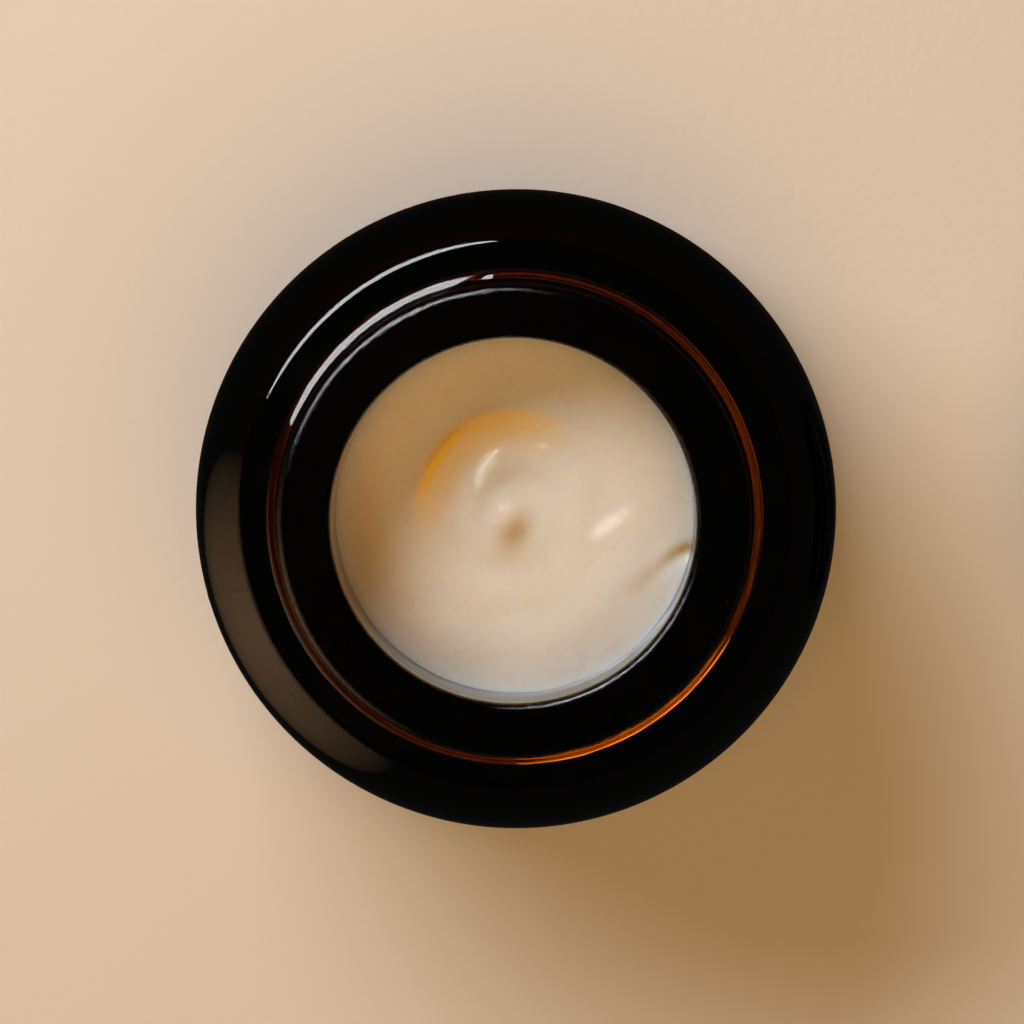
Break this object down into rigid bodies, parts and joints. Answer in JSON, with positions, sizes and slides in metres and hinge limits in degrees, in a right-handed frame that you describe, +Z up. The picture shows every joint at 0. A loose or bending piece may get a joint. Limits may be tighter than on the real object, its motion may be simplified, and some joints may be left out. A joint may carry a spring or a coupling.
{
  "type": "cosmetic cream jar",
  "caption": "Round thick-walled amber glass jar filled with swirled cream, with a sealing disc and a two-piece screw lid set down beside it, open side up.",
  "frame": {"origin": "centre of the jar's base, on the surface it stands on", "axes": "+Z up along the jar's axis and out of its mouth, +X towards the lid set down beside it"},
  "size_m": [0.1373, 0.062, 0.0425],
  "materials": {
    "amber_glass": "polished dark amber glass",
    "cream": "soft satin cream",
    "white_plastic": "waxy translucent white",
    "liner_foam": "fine closed-cell foam with a pressed skin",
    "inner_cap_plastic": "moulded satin black",
    "shell_plastic": "smooth satin black with fine rubbed edges"
  },
  "bodies": {
    "jar": {"glass_jar": "amber_glass", "cream": "cream"},
    "disc": {"sealing_disc": "white_plastic"},
    "liner": {"lid_liner": "liner_foam"},
    "lid": {"lid_inner_cap": "inner_cap_plastic", "lid_shell": "shell_plastic"}
  },
  "joints": [
    {"name": "lid_carry", "type": "hinge", "parent": "jar", "child": "disc", "pos_m": [0.04, 0, 0.02732], "axis": [0, -1, 0], "range_deg": [0, 180]},
    {"name": "lid_travel", "type": "slide", "parent": "disc", "child": "liner", "axis": [0, 0, 1], "range_m": [0, 0.0074]},
    {"name": "lid_turn", "type": "hinge", "parent": "liner", "child": "lid", "pos_m": [0.08, 0, 0], "axis": [0, 0, 1], "range_deg": [0, 630]}
  ],
  "couplings": [
    {"joint": "lid_travel", "follows": "lid_turn", "m_per_rad": 0.00067322}
  ]
}
